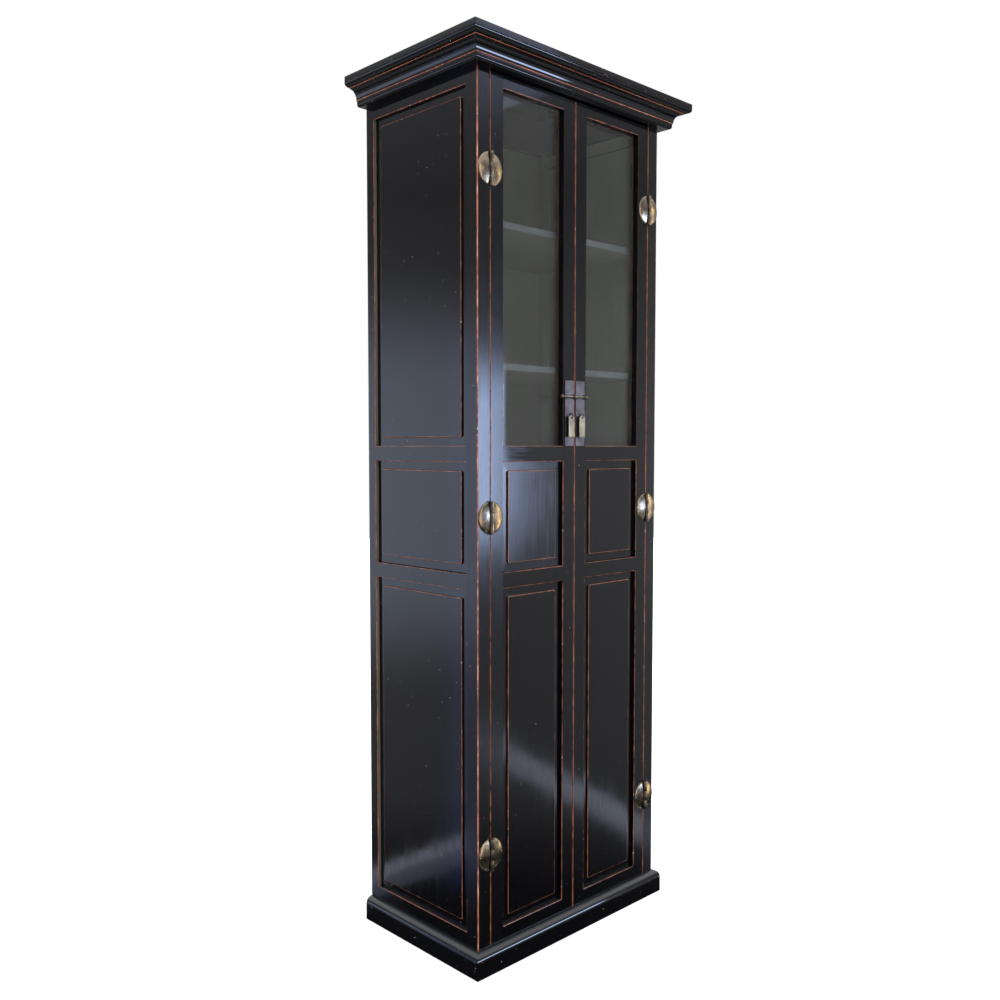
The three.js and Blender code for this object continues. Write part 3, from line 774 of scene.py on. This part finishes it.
def raised_panel(node, body, normal_axis, outward, material):
    """A panel with a tongue all round and a raised field with rounded corners and a worn arris.
    It faces along normal_axis, and outward is that face's sign. Its back has the second material."""
    lo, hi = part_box(node)
    across = 1 - normal_axis
    middle = (lo + hi) / 2
    half = (hi[across] - lo[across]) / 2, (hi.z - lo.z) / 2
    face = hi[normal_axis] if outward > 0 else lo[normal_axis]
    back = lo[normal_axis] if outward > 0 else hi[normal_axis]
    margin = TONGUE_MM + FIELD_MARGIN_MM
    arris, cove, rise = FIELD_ARRIS_MM, FIELD_COVE_MM, FIELD_RISE_MM
    # Each ring: inset from the panel's edge, depth below the field, corner radius, wear of the band after it.
    rings = [
        (0.0, abs(back - face) / MM, 0.3, 0.0),
        (0.0, rise, 0.3, 0.0),
        (margin - cove, rise, FIELD_CORNER_MM + cove, 0.0),
        (margin - cove * 0.3, rise - cove * 0.3, FIELD_CORNER_MM + cove * 0.3, 0.0),
        (margin, rise - cove, FIELD_CORNER_MM, 0.0),
        (margin, arris, FIELD_CORNER_MM, 0.60),
        (margin + arris * 0.08, arris * 0.62, FIELD_CORNER_MM, 0.92),
        (margin + arris * 0.29, arris * 0.29, FIELD_CORNER_MM, 1.05),
        (margin + arris * 0.62, arris * 0.08, FIELD_CORNER_MM, 0.80),
        (margin + arris, 0.0, FIELD_CORNER_MM, 0.0),
    ]
    bm = bmesh.new()
    layer = wear_layer(bm)
    loops = []
    for inset, depth, radius, _ in rings:
        w, h = half[0] - inset * MM, half[1] - inset * MM
        r = radius * MM
        loop = []
        for corner in range(4):
            sx, sz = ((1, 1), (-1, 1), (-1, -1), (1, -1))[corner]
            for step in range(CORNER_STEPS + 1):
                angle = math.radians(90 * corner + 90 * step / CORNER_STEPS)
                a = sx * (w - r) + r * math.cos(angle)
                b = sz * (h - r) + r * math.sin(angle)
                point = [0.0, 0.0, middle.z + b]
                point[across] = middle[across] + a
                point[normal_axis] = face - outward * depth * MM
                loop.append(bm.verts.new(point))
        loops.append(loop)
    bands, caps = skinned(bm, loops)
    for band, (_, _, _, wear) in zip(bands, rings):
        for face in band:
            face[layer] = wear
    caps[0].material_index = 1
    weighted(piece("finished_" + node, mesh_of(node, bm), material, body, "black_lacquer", node))


for side_name in SIDES:
    case_posts(side_name)
    side_rails(side_name)
    for panel in ("lower", "middle", "upper"):
        raised_panel(f"side_panel_{panel}_{side_name}", "case", 0, SIDES[side_name], (LACQUER_Z, INTERIOR))


# ---------------------------------------------------------------- plinth and cornice


def placed(bm, turn, place):
    """Turns a moulding about Z and moves it into place."""
    matrix = Matrix.Translation(Vector(place)) @ Matrix.Rotation(turn, 4, "Z")
    bmesh.ops.transform(bm, matrix=matrix, verts=bm.verts)
    return bm


def moulding_round_case(name, profile, node):
    """Three mitred lengths of a moulding: across the front and back along both sides.
    The profile's y is its projection from the case."""
    left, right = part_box("front_post_left")[0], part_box("front_post_right")[1]
    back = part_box("rear_post_left")[1].y
    gap = MITRE_GAP_MM * MM
    half = (right.x - left.x) / 2
    depth = back - left.y
    lengths = (
        ("front", LACQUER_X, swept(profile, -half + gap, half - gap, 1, 1), 0, (0, left.y, 0)),
        ("side_left", LACQUER_Y, swept(profile, 0, depth - gap, 0, 1), -math.pi / 2, (left.x, back, 0)),
        ("side_right", LACQUER_Y, swept(profile, gap - depth, 0, 1, 0), math.pi / 2, (right.x, back, 0)),
    )
    for where, coat, length, turn, place in lengths:
        mesh = mesh_of(f"{name}_{where}", placed(length, turn, place))
        weighted(piece(f"{name}_{where}", mesh, coat, "case", "black_lacquer", node))


def in_metres(points, bottom):
    return [(y * MM, bottom + z * MM, wear) for y, z, wear in points]


def plinth():
    """The band round the foot of the case: an upright face under a quarter round."""
    lo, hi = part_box("plinth_base")
    height = (hi.z - lo.z) / MM
    r = PLINTH_ROUND_MM
    band = height - r
    inner = -PLINTH_INNER_MM
    profile = [(inner, 0.0, 0.0)]
    profile += softened(((inner, 0), (r, 0), (r, band)), 0.9, 0.5)
    profile += softened(((r, 0), (r, band), (r - 0.2, band + 2)), 0.5, 0.35)
    profile += arc((0, band), r, 6, 84, 10)
    profile += [(0.0, height, 0.0), (inner, height, 0.0)]
    moulding_round_case("plinth", in_metres(profile, lo.z), "plinth_base")


def cornice():
    """The crown moulding: from its foot up a bead, a fillet, a cove and a thumbnail."""
    lo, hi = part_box("cornice_cap")
    projection = (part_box("front_post_left")[0].y - lo.y) / MM
    under_board = (hi.z - lo.z) / MM - TOP_BOARD_MM
    inner = -CORNICE_INNER_MM
    cove_foot = (FILLET_HEAD[0] + 0.1, FILLET_HEAD[1] + 2.5)
    cove_head = (COVE_CENTRE[0], COVE_CENTRE[1] + COVE_RADII[1])
    thumbnail_start = (THUMBNAIL_FOOT[0] + 2, THUMBNAIL_FOOT[1] + 0.1)
    thumbnail_centre = (THUMBNAIL_FOOT[0], THUMBNAIL_FOOT[1] + THUMBNAIL_RISE)
    thumbnail_radii = (projection - THUMBNAIL_FOOT[0], THUMBNAIL_RISE)
    profile = [(inner, 0.0, 0.0), (0.0, 0.0, 0.0)]
    profile += arc(BEAD_CENTRE, BEAD_RADII, -90, -8, 8)
    profile += softened(((FILLET_FOOT[0], BEAD_CENTRE[1]), FILLET_FOOT, FILLET_HEAD), 0.7, 0.4, 2)
    profile += softened((FILLET_FOOT, FILLET_HEAD, cove_foot), 1.0, 0.92, 3)
    profile += arc(COVE_CENTRE, COVE_RADII, 172, 92, 12)
    profile += softened((cove_head, THUMBNAIL_FOOT, thumbnail_start), 1.0, 0.95, 3)
    profile += arc(thumbnail_centre, thumbnail_radii, -80, -6, 8)
    profile += [(projection, under_board - 0.4, 0.0)]
    profile += [(projection - 0.9, under_board - 0.1, 0.0), (inner, under_board - 0.1, 0.0)]
    moulding_round_case("cornice", in_metres(profile, lo.z), "cornice_cap")


def rounded_board(name, lo, hi, material, slot, radius_mm, wear, node):
    """A flat board with every arris rounded alike."""
    bm = block(Vector(lo), Vector(hi))
    layer = wear_layer(bm)
    for face in rounded(bm, bm.edges[:], radius_mm):
        face[layer] = wear
    weighted(piece(name, mesh_of(name, bm), material, "case", slot, node))


def boards():
    """The top board, the floor board, and the boards that close the cornice and the plinth behind."""
    cap_lo, cap_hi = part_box("cornice_cap")
    base_lo, base_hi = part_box("plinth_base")
    case_lo, case_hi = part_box("front_post_left")[0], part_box("rear_post_right")[1]
    rear_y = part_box("rear_post_left")[0].y
    back_y = case_hi.y - 0.1 * MM
    gap = BOARD_GAP_MM * MM
    top_foot = cap_hi.z - TOP_BOARD_MM * MM
    floor_foot = base_hi.z - FLOOR_BOARD_MM * MM
    cornice_x = case_hi.x - CORNICE_INNER_MM * MM - gap
    plinth_x = case_hi.x - PLINTH_BACK_INSET_MM * MM
    inset = FLOOR_BOARD_INSET_MM * MM
    rounded_board("top_board", (cap_lo.x, cap_lo.y, top_foot), cap_hi, LACQUER_X,
                  "black_lacquer", 1.2, TOP_BOARD_WEAR, "cornice_cap")
    rounded_board("cornice_back", (-cornice_x, rear_y, cap_lo.z), (cornice_x, back_y, top_foot - gap),
                  (LACQUER_X, INTERIOR), "black_lacquer", 0.6, 0.0, "cornice_cap")
    rounded_board("plinth_back", (-plinth_x, case_hi.y - PLINTH_BACK_MM * MM, base_lo.z),
                  (plinth_x, back_y, floor_foot - gap), LACQUER_X, "black_lacquer", 0.6, 0.0, "plinth_base")
    rounded_board("floor_board", (case_lo.x + inset, case_lo.y + inset, floor_foot),
                  (case_hi.x - inset, case_hi.y - 2 * MM, base_hi.z), INTERIOR,
                  "dark_interior", 0.6, 0.0, "plinth_base")


plinth()
cornice()
boards()


# ---------------------------------------------------------------- doors


def door_frame(side):
    """A door's stiles and rails. It returns the X limits of the opening between the stiles."""
    body = f"door_{side}"
    bays = bays_of("door_rail", side)
    cuts = sorted({z for bay in bays for z in bay})
    openings = []
    for stile, edge_wear in (("hinge_stile", HINGE_STILE_WEAR), ("meeting_stile", MEETING_STILE_WEAR)):
        node = f"{stile}_{side}"
        lo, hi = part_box(node)
        faces_left = (stile == "hinge_stile") == (side == "left")
        outer, inner = (lo.x, hi.x) if faces_left else (hi.x, lo.x)
        openings.append(inner)
        arrises = [
            upright_arris(outer, lo.y, lo.z, hi.z, ARRIS_MM, edge_wear),
            upright_arris(outer, hi.y, lo.z, hi.z, ARRIS_MM, STILE_BACK_WEAR),
        ]
        arrises += [upright_arris(inner, lo.y, z0, z1, ARRIS_MM, DOOR_BAY_WEAR) for z0, z1 in bays]
        coat = LACQUER_HAZY if node == "hinge_stile_left" else LACQUER_Z
        eased_copy(node, body, coat, "black_lacquer", arrises, cuts)
    x0, x1 = min(openings), max(openings)
    gap = FIT_MM * MM
    for place in RAIL_PLACES:
        node = f"door_rail_{place}_{side}"
        lo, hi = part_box(node)
        arrises = [
            ((x0 + gap, lo.y, z), (x1 - gap, lo.y, z), ARRIS_MM, DOOR_BAY_WEAR)
            for z in eased_heights(place, lo, hi)
        ]
        eased_copy(node, body, LACQUER_X, "black_lacquer", arrises)
    return x0, x1


def glazing_beads(side, x0, x1):
    """Four quarter-round beads behind a pane, mitred at the corners, in the rebate."""
    body = f"door_{side}"
    pane_lo, pane_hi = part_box(f"door_glass_{side}")
    size = REBATE_MM * MM
    gap = BEAD_GAP_MM * MM
    front = pane_hi.y + gap
    width, depth = size - gap + BEAD_PROUD_MM * MM, BEAD_DEPTH_MM * MM
    lo = Vector((x0 - size + gap, 0, pane_lo.z + gap))
    hi = Vector((x1 + size - gap, 0, pane_hi.z - gap))
    # Section as (inwards from the rebate's wall, backwards from the glass), its back corner rounded.
    section = [(0, 0), (width, 0), (width, depth * 0.55)]
    for step in range(1, 6):
        angle = math.radians(90 * step / 5)
        inwards = width - depth * 0.45 * (1 - math.cos(angle))
        section.append((inwards, depth * (0.55 + 0.45 * math.sin(angle))))
    section.append((0, depth))
    corners = {
        "bottom": ((lo.x, lo.z), (hi.x, lo.z), (0, 1)),
        "top": ((hi.x, hi.z), (lo.x, hi.z), (0, -1)),
        "left": ((lo.x, hi.z), (lo.x, lo.z), (1, 0)),
        "right": ((hi.x, lo.z), (hi.x, hi.z), (-1, 0)),
    }
    for place, (start, end, inward) in corners.items():
        along = Vector((end[0] - start[0], end[1] - start[1])).normalized()
        bm = bmesh.new()
        rings = []
        for base, sign in ((start, 1), (end, -1)):
            ring = []
            for u, v in section:
                x = base[0] + inward[0] * u + along.x * u * sign
                z = base[1] + inward[1] * u + along.y * u * sign
                ring.append(bm.verts.new((x, front + v, z)))
            rings.append(ring)
        skinned(bm, rings)
        name = f"glazing_bead_{place}_{side}"
        weighted(piece(name, mesh_of(name, bm), BEAD_WOOD, body, "black_lacquer"))


for side_name in SIDES:
    opening = door_frame(side_name)
    for panel in ("lower", "middle"):
        is_hazy = panel == "middle" and side_name == "left"
        coat = LACQUER_HAZY if is_hazy else LACQUER_Z
        raised_panel(f"door_panel_{panel}_{side_name}", f"door_{side_name}", 1, -1, (coat, coat))
    glazing_beads(side_name, *opening)
    pane = frame["nodes"][f"door_glass_{side_name}"]
    pane.data.materials.clear()
    pane.data.materials.append(GLASS)


# ---------------------------------------------------------------- shelves and back


for number in (1, 2, 3, 4):
    node = f"shelf_{number}"
    eased_copy(node, "case", (SHELF_EDGE, INTERIOR), "dark_interior", (), (), ((2, 1), (2, -1)))
eased_copy("back_panel", "case", (LACQUER_Z, INTERIOR), "dark_interior", (), (), ((1, -1),))


# ---------------------------------------------------------------- hinges


def lathe(profile, steps):
    """A closed solid turned about Y from [(radius, y)], the first and last points on the axis."""
    bm = bmesh.new()
    rings = []
    for radius, y in profile:
        if radius < 1e-9:
            rings.append([bm.verts.new((0, y, 0))])
        else:
            angles = [2 * math.pi * i / steps for i in range(steps)]
            rings.append([bm.verts.new((radius * math.cos(a), y, radius * math.sin(a))) for a in angles])
    for one, two in zip(rings, rings[1:]):
        for i in range(steps):
            j = (i + 1) % steps
            loop = [one[i % len(one)], one[j % len(one)], two[j % len(two)], two[i % len(two)]]
            unique = list(dict.fromkeys(loop))
            if len(unique) > 2:
                bm.faces.new(unique)
    bmesh.ops.recalc_face_normals(bm, faces=bm.faces)
    return bm


def scratch_object(name, bm):
    return linked(name, mesh_of(name, bm))


def carved(base, steps):
    """The base after boolean steps, [(operation, other object)], as a new bmesh. The objects are removed."""
    for operation, other in steps:
        modifier = base.modifiers.new(operation, "BOOLEAN")
        modifier.operation = operation
        modifier.solver = "EXACT"
        modifier.object = other
    evaluated = base.evaluated_get(bpy.context.evaluated_depsgraph_get())
    bm = bmesh.new()
    bm.from_mesh(evaluated.to_mesh())
    evaluated.to_mesh_clear()
    for used in [base] + [other for _, other in steps]:
        mesh = used.data
        bpy.data.objects.remove(used)
        bpy.data.meshes.remove(mesh)
    return bm


def barrel(radius, bottom, top, steps=32, soft=0.5):
    """An upright turned barrel on the Z axis with softened ends, heights in mm."""
    shoulder = radius - 0.15 * soft
    profile = [(0, bottom), (radius - soft, bottom), (shoulder, bottom + 0.3 * soft), (radius, bottom + soft)]
    profile += [(radius, top - soft), (shoulder, top - 0.3 * soft), (radius - soft, top), (0, top)]
    bm = lathe([(r * MM, y * MM) for r, y in profile], steps)
    bmesh.ops.rotate(bm, cent=(0, 0, 0), matrix=Matrix.Rotation(math.radians(90), 3, "X"), verts=bm.verts)
    return bm


def dome_height(radius):
    """How far the domed plate stands from the wood at a radius from its middle, in mm."""
    rise = HINGE_CROWN_MM - HINGE_RIM_MM
    sphere = (HINGE_RADIUS_MM**2 + rise**2) / (2 * rise)
    return HINGE_CROWN_MM - sphere + math.sqrt(sphere**2 - radius**2)


def hinge_dome(axis_offset):
    """The round domed plate with a rolled rim, its back on the wood. The hinge's axis is Z."""
    rings = 12
    profile = [(0, HINGE_CROWN_MM)]
    for ring in range(1, rings):
        radius = (HINGE_RADIUS_MM - 0.6) * ring / (rings - 1)
        profile.append((radius, dome_height(radius)))
    profile += [(HINGE_RADIUS_MM - 0.2, HINGE_RIM_MM * 0.8), (HINGE_RADIUS_MM, HINGE_RIM_MM * 0.4)]
    profile += [(HINGE_RADIUS_MM, 0), (0, 0)]
    return lathe([(r * MM, (axis_offset - FIT_MM - y) * MM) for r, y in profile], 72)


def half_hinge(towards, is_post, axis_offset):
    """One leaf: half the dome with the knuckles that belong to it, and a groove beside them."""
    middle, reach = DOOR_KNUCKLE_MM, HINGE_RADIUS_MM
    clear = KNUCKLE_MM + KNUCKLE_CLEARANCE_MM
    near, far = sorted((towards * 0.3, towards * (reach + 2)))
    groove_x = sorted((towards * (KNUCKLE_MM - 1), towards * (KNUCKLE_MM + HINGE_GROOVE_MM)))
    groove_foot = axis_offset - FIT_MM - HINGE_RIM_MM * 0.7

    def slab(x0, x1, back):
        return block(Vector((x0, -20, -50)) * MM, Vector((x1, back, 50)) * MM)

    steps = [("INTERSECT", scratch_object("keep", slab(near, far, 20)))]
    steps.append(("DIFFERENCE", scratch_object("groove", slab(*groove_x, groove_foot))))
    if is_post:
        inner = middle + FIT_MM
        steps.append(("DIFFERENCE", scratch_object("gap", barrel(clear, -inner, inner, 32, 0.01))))
        for bottom, top in ((inner, reach), (-reach, -inner)):
            steps.append(("UNION", scratch_object("knuckle", barrel(KNUCKLE_MM, bottom, top))))
    else:
        for bottom, top in ((middle, reach + 1), (-reach - 1, -middle)):
            steps.append(("DIFFERENCE", scratch_object("gap", barrel(clear, bottom, top, 32, 0.01))))
        steps.append(("UNION", scratch_object("knuckle", barrel(KNUCKLE_MM, -middle, middle))))
    return carved(scratch_object("dome", hinge_dome(axis_offset)), steps)


def nails_at(places, head):
    """Small nail heads at places in metres, joined. A head's profile is [(radius, height)] in mm."""
    joined = bmesh.new()
    for place in places:
        bm = lathe([(r * MM, h * MM) for r, h in head], 16)
        bmesh.ops.translate(bm, vec=place, verts=bm.verts)
        mesh = mesh_of("nail", bm)
        joined.from_mesh(mesh)
        bpy.data.meshes.remove(mesh)
    return joined


def leaf_nails(towards, axis_offset):
    """Three nail heads near a leaf's rim."""
    y = axis_offset - FIT_MM - dome_height(NAIL_RING_MM)
    places = []
    for angle in NAIL_ANGLES:
        x = towards * NAIL_RING_MM * math.cos(math.radians(angle))
        z = NAIL_RING_MM * math.sin(math.radians(angle))
        places.append(Vector((x, y, z)) * MM)
    return nails_at(places, HINGE_NAIL)


def frame_joint(name):
    return next(j for j in frame["joints"] if j["name"] == name)


def hinges():
    for side, sign in SIDES.items():
        axis_x, axis_y, _ = frame_joint(f"door_{side}_hinge")["pos_m"]
        axis_offset = (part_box(f"front_post_{side}")[0].y - axis_y) / MM
        for kind, towards, body in (("post", sign, "case"), ("door", -sign, f"door_{side}")):
            leaf = mesh_of(f"hinge_{kind}_leaf", half_hinge(towards, kind == "post", axis_offset))
            nails = mesh_of(f"hinge_{kind}_nails", leaf_nails(towards, axis_offset))
            for number in (1, 2, 3):
                node = f"hinge_{kind}_leaf_{number}_{side}"
                lo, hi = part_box(node)
                place = Vector((axis_x, axis_y, (lo.z + hi.z) / 2))
                for name, mesh, metal, nodes in (
                    (f"finished_{node}", leaf, HINGE_METAL, (node,)),
                    (f"nails_{kind}_{number}_{side}", nails, NAIL_METAL, ()),
                ):
                    own = mesh.copy()
                    own.transform(Matrix.Translation(place))
                    piece(name, own, metal, body, "aged_brass", *nodes)


hinges()


# ---------------------------------------------------------------- lock and pulls


def torus(radius_mm, wire_mm, place, around=40, section=14):
    """A wire ring standing in the plane x = place.x."""
    bm = bmesh.new()
    rings = []
    for i in range(around):
        a = 2 * math.pi * i / around
        ring = []
        for k in range(section):
            b = 2 * math.pi * k / section
            r = radius_mm + wire_mm * math.cos(b)
            point = Vector((wire_mm * math.sin(b), r * math.cos(a), r * math.sin(a))) * MM
            ring.append(bm.verts.new(point + place))
        rings.append(ring)
    for i in range(around):
        one, two = rings[i], rings[(i + 1) % around]
        for k in range(section):
            m = (k + 1) % section
            bm.faces.new((one[k], two[k], two[m], one[m]))
    return bm


def bevelled(bm, radius_mm):
    """Rounds every sharp edge."""
    sharp = [e for e in bm.edges if len(e.link_faces) == 2 and e.calc_face_angle(0) > math.radians(40)]
    rounded(bm, sharp, radius_mm)
    return bm


def lock_eye(pin_middle, sheet_front):
    """A wire ring round the lock pin, on a shank that stands on the plate."""
    wire = EYE_WIRE_MM
    length = (sheet_front - pin_middle.y) / MM - EYE_MM
    profile = [(0, -0.8), (wire, -0.8), (wire, length), (wire * 2.0, length)]
    profile += [(wire * 1.6, length + 0.6), (0, length + 0.8)]
    shank = lathe([(r * MM, y * MM) for r, y in profile], 20)
    bmesh.ops.translate(shank, vec=pin_middle + Vector((0, EYE_MM * MM, 0)), verts=shank.verts)
    ring = scratch_object("eye", torus(EYE_MM, wire, pin_middle))
    return carved(ring, [("UNION", scratch_object("shank", shank))])


def lock_plates():
    """A sheet on each meeting stile, with the eye that holds the pin and the loop that holds the pull."""
    pin_lo, pin_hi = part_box("lock_pin")
    for side in SIDES:
        node = f"lock_plate_{side}"
        body = f"door_{side}"
        lo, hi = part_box(node)
        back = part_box(f"meeting_stile_{side}")[0].y - FIT_MM * MM
        front = back - PLATE_MM * MM
        middle_x = (lo.x + hi.x) / 2
        sheet = bevelled(block(Vector((lo.x, front, lo.z)), Vector((hi.x, back, hi.z))), 0.5)
        weighted(piece(f"lock_sheet_{side}", mesh_of("sheet", sheet), LOCK_METAL, body, "dark_bronze", node))

        pin_middle = Vector((middle_x, (pin_lo.y + pin_hi.y) / 2, (pin_lo.z + pin_hi.z) / 2))
        eye = mesh_of("lock_eye", lock_eye(pin_middle, front))
        piece(f"lock_eye_{side}", eye, LOCK_METAL, body, "dark_bronze", node)

        _, loop_y, loop_z = frame_joint(f"pull_{side}_swing")["pos_m"]
        loop = mesh_of("pull_loop", torus(LOOP_MM, LOOP_WIRE_MM, Vector((middle_x, loop_y, loop_z))))
        piece(f"pull_loop_{side}", loop, LOCK_METAL, body, "dark_bronze", node)

        inset = PLATE_NAIL_INSET_MM * MM
        places = [(middle_x, front, z) for z in (lo.z + inset, hi.z - inset)]
        nails = mesh_of("nails_lock", nails_at(places, PLATE_NAIL))
        piece(f"nails_lock_{side}", nails, LOCK_METAL, body, "dark_bronze")


def pull_tabs():
    """Flat tabs with cut corners, each hung from its loop by a hole."""
    for side in SIDES:
        node = f"pull_tab_{side}"
        lo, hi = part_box(node)
        middle = (lo + hi) / 2
        half_w = (hi.x - lo.x) / 2 / MM
        height = (hi.z - lo.z) / MM
        hole_z = hi.z / MM - LOOP_MM
        chamfer = TAB_CHAMFER_MM
        outline = [(-half_w, -height), (half_w, -height), (half_w, -chamfer)]
        outline += [(half_w - chamfer, 0), (chamfer - half_w, 0), (-half_w, -chamfer)]
        bm = bmesh.new()
        places = [(x * MM + middle.x, hi.z + z * MM) for x, z in outline]
        skinned(bm, [[bm.verts.new((x, y, z)) for x, z in places] for y in (lo.y, hi.y)])
        bmesh.ops.recalc_face_normals(bm, faces=bm.faces)
        bevelled(bm, 0.7)
        tab = scratch_object("tab", bm)
        radius, depth = TAB_HOLE_MM * MM, 10 * MM
        hole = lathe([(0, -depth), (radius, -depth), (radius, depth), (0, depth)], 32)
        bmesh.ops.translate(hole, vec=(middle.x, middle.y, hole_z * MM), verts=hole.verts)
        made = carved(tab, [("DIFFERENCE", scratch_object("hole", hole))])
        mesh = mesh_of(node, made)
        weighted(piece(f"finished_{node}", mesh, PULL_METAL, f"pull_{side}", "worn_brass", node))


def lock_pin():
    """A turned pin along X: a round knob, a neck that swells into the shank, and a rounded tip."""
    lo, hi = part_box("lock_pin")
    length = (hi.x - lo.x) / MM
    knob, neck, shank = PIN_KNOB_MM, PIN_NECK_MM, PIN_SHANK_MM
    first, last = (sum(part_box(f"lock_plate_{side}"), Vector()).x / 2 for side in SIDES)
    start, end = (first - lo.x) / MM, (last - lo.x) / MM
    profile = [(0, 0)]
    for step in range(1, 10):
        angle = math.radians(-90 + 146 * step / 9)
        profile.append((knob * math.cos(angle), knob + knob * math.sin(angle)))
    profile += [(neck + 0.3, 2 * knob - 0.3), (neck, 2 * knob + 1.2)]
    neck_end = 2 * knob + 2
    steps = 6
    for step in range(steps + 1):
        share = step / steps
        eased = share * share * (3 - 2 * share)
        profile.append((neck + (shank - neck) * eased, neck_end + (start - neck_end) * share))
    profile += [(shank, end), (neck + 0.3, length - 2.2), (neck - 0.2, length - 0.9)]
    profile += [(neck - 1.0, length - 0.2), (0, length)]
    bm = lathe([(r * MM, y * MM) for r, y in profile], 28)
    turn = Matrix.Rotation(math.radians(-90), 4, "Z")
    place = Matrix.Translation(Vector((lo.x, (lo.y + hi.y) / 2, (lo.z + hi.z) / 2)))
    bmesh.ops.transform(bm, matrix=place @ turn, verts=bm.verts)
    piece("finished_lock_pin", mesh_of("lock_pin", bm), PULL_METAL, "lock_pin", "dark_bronze", "lock_pin")


lock_plates()
pull_tabs()
lock_pin()
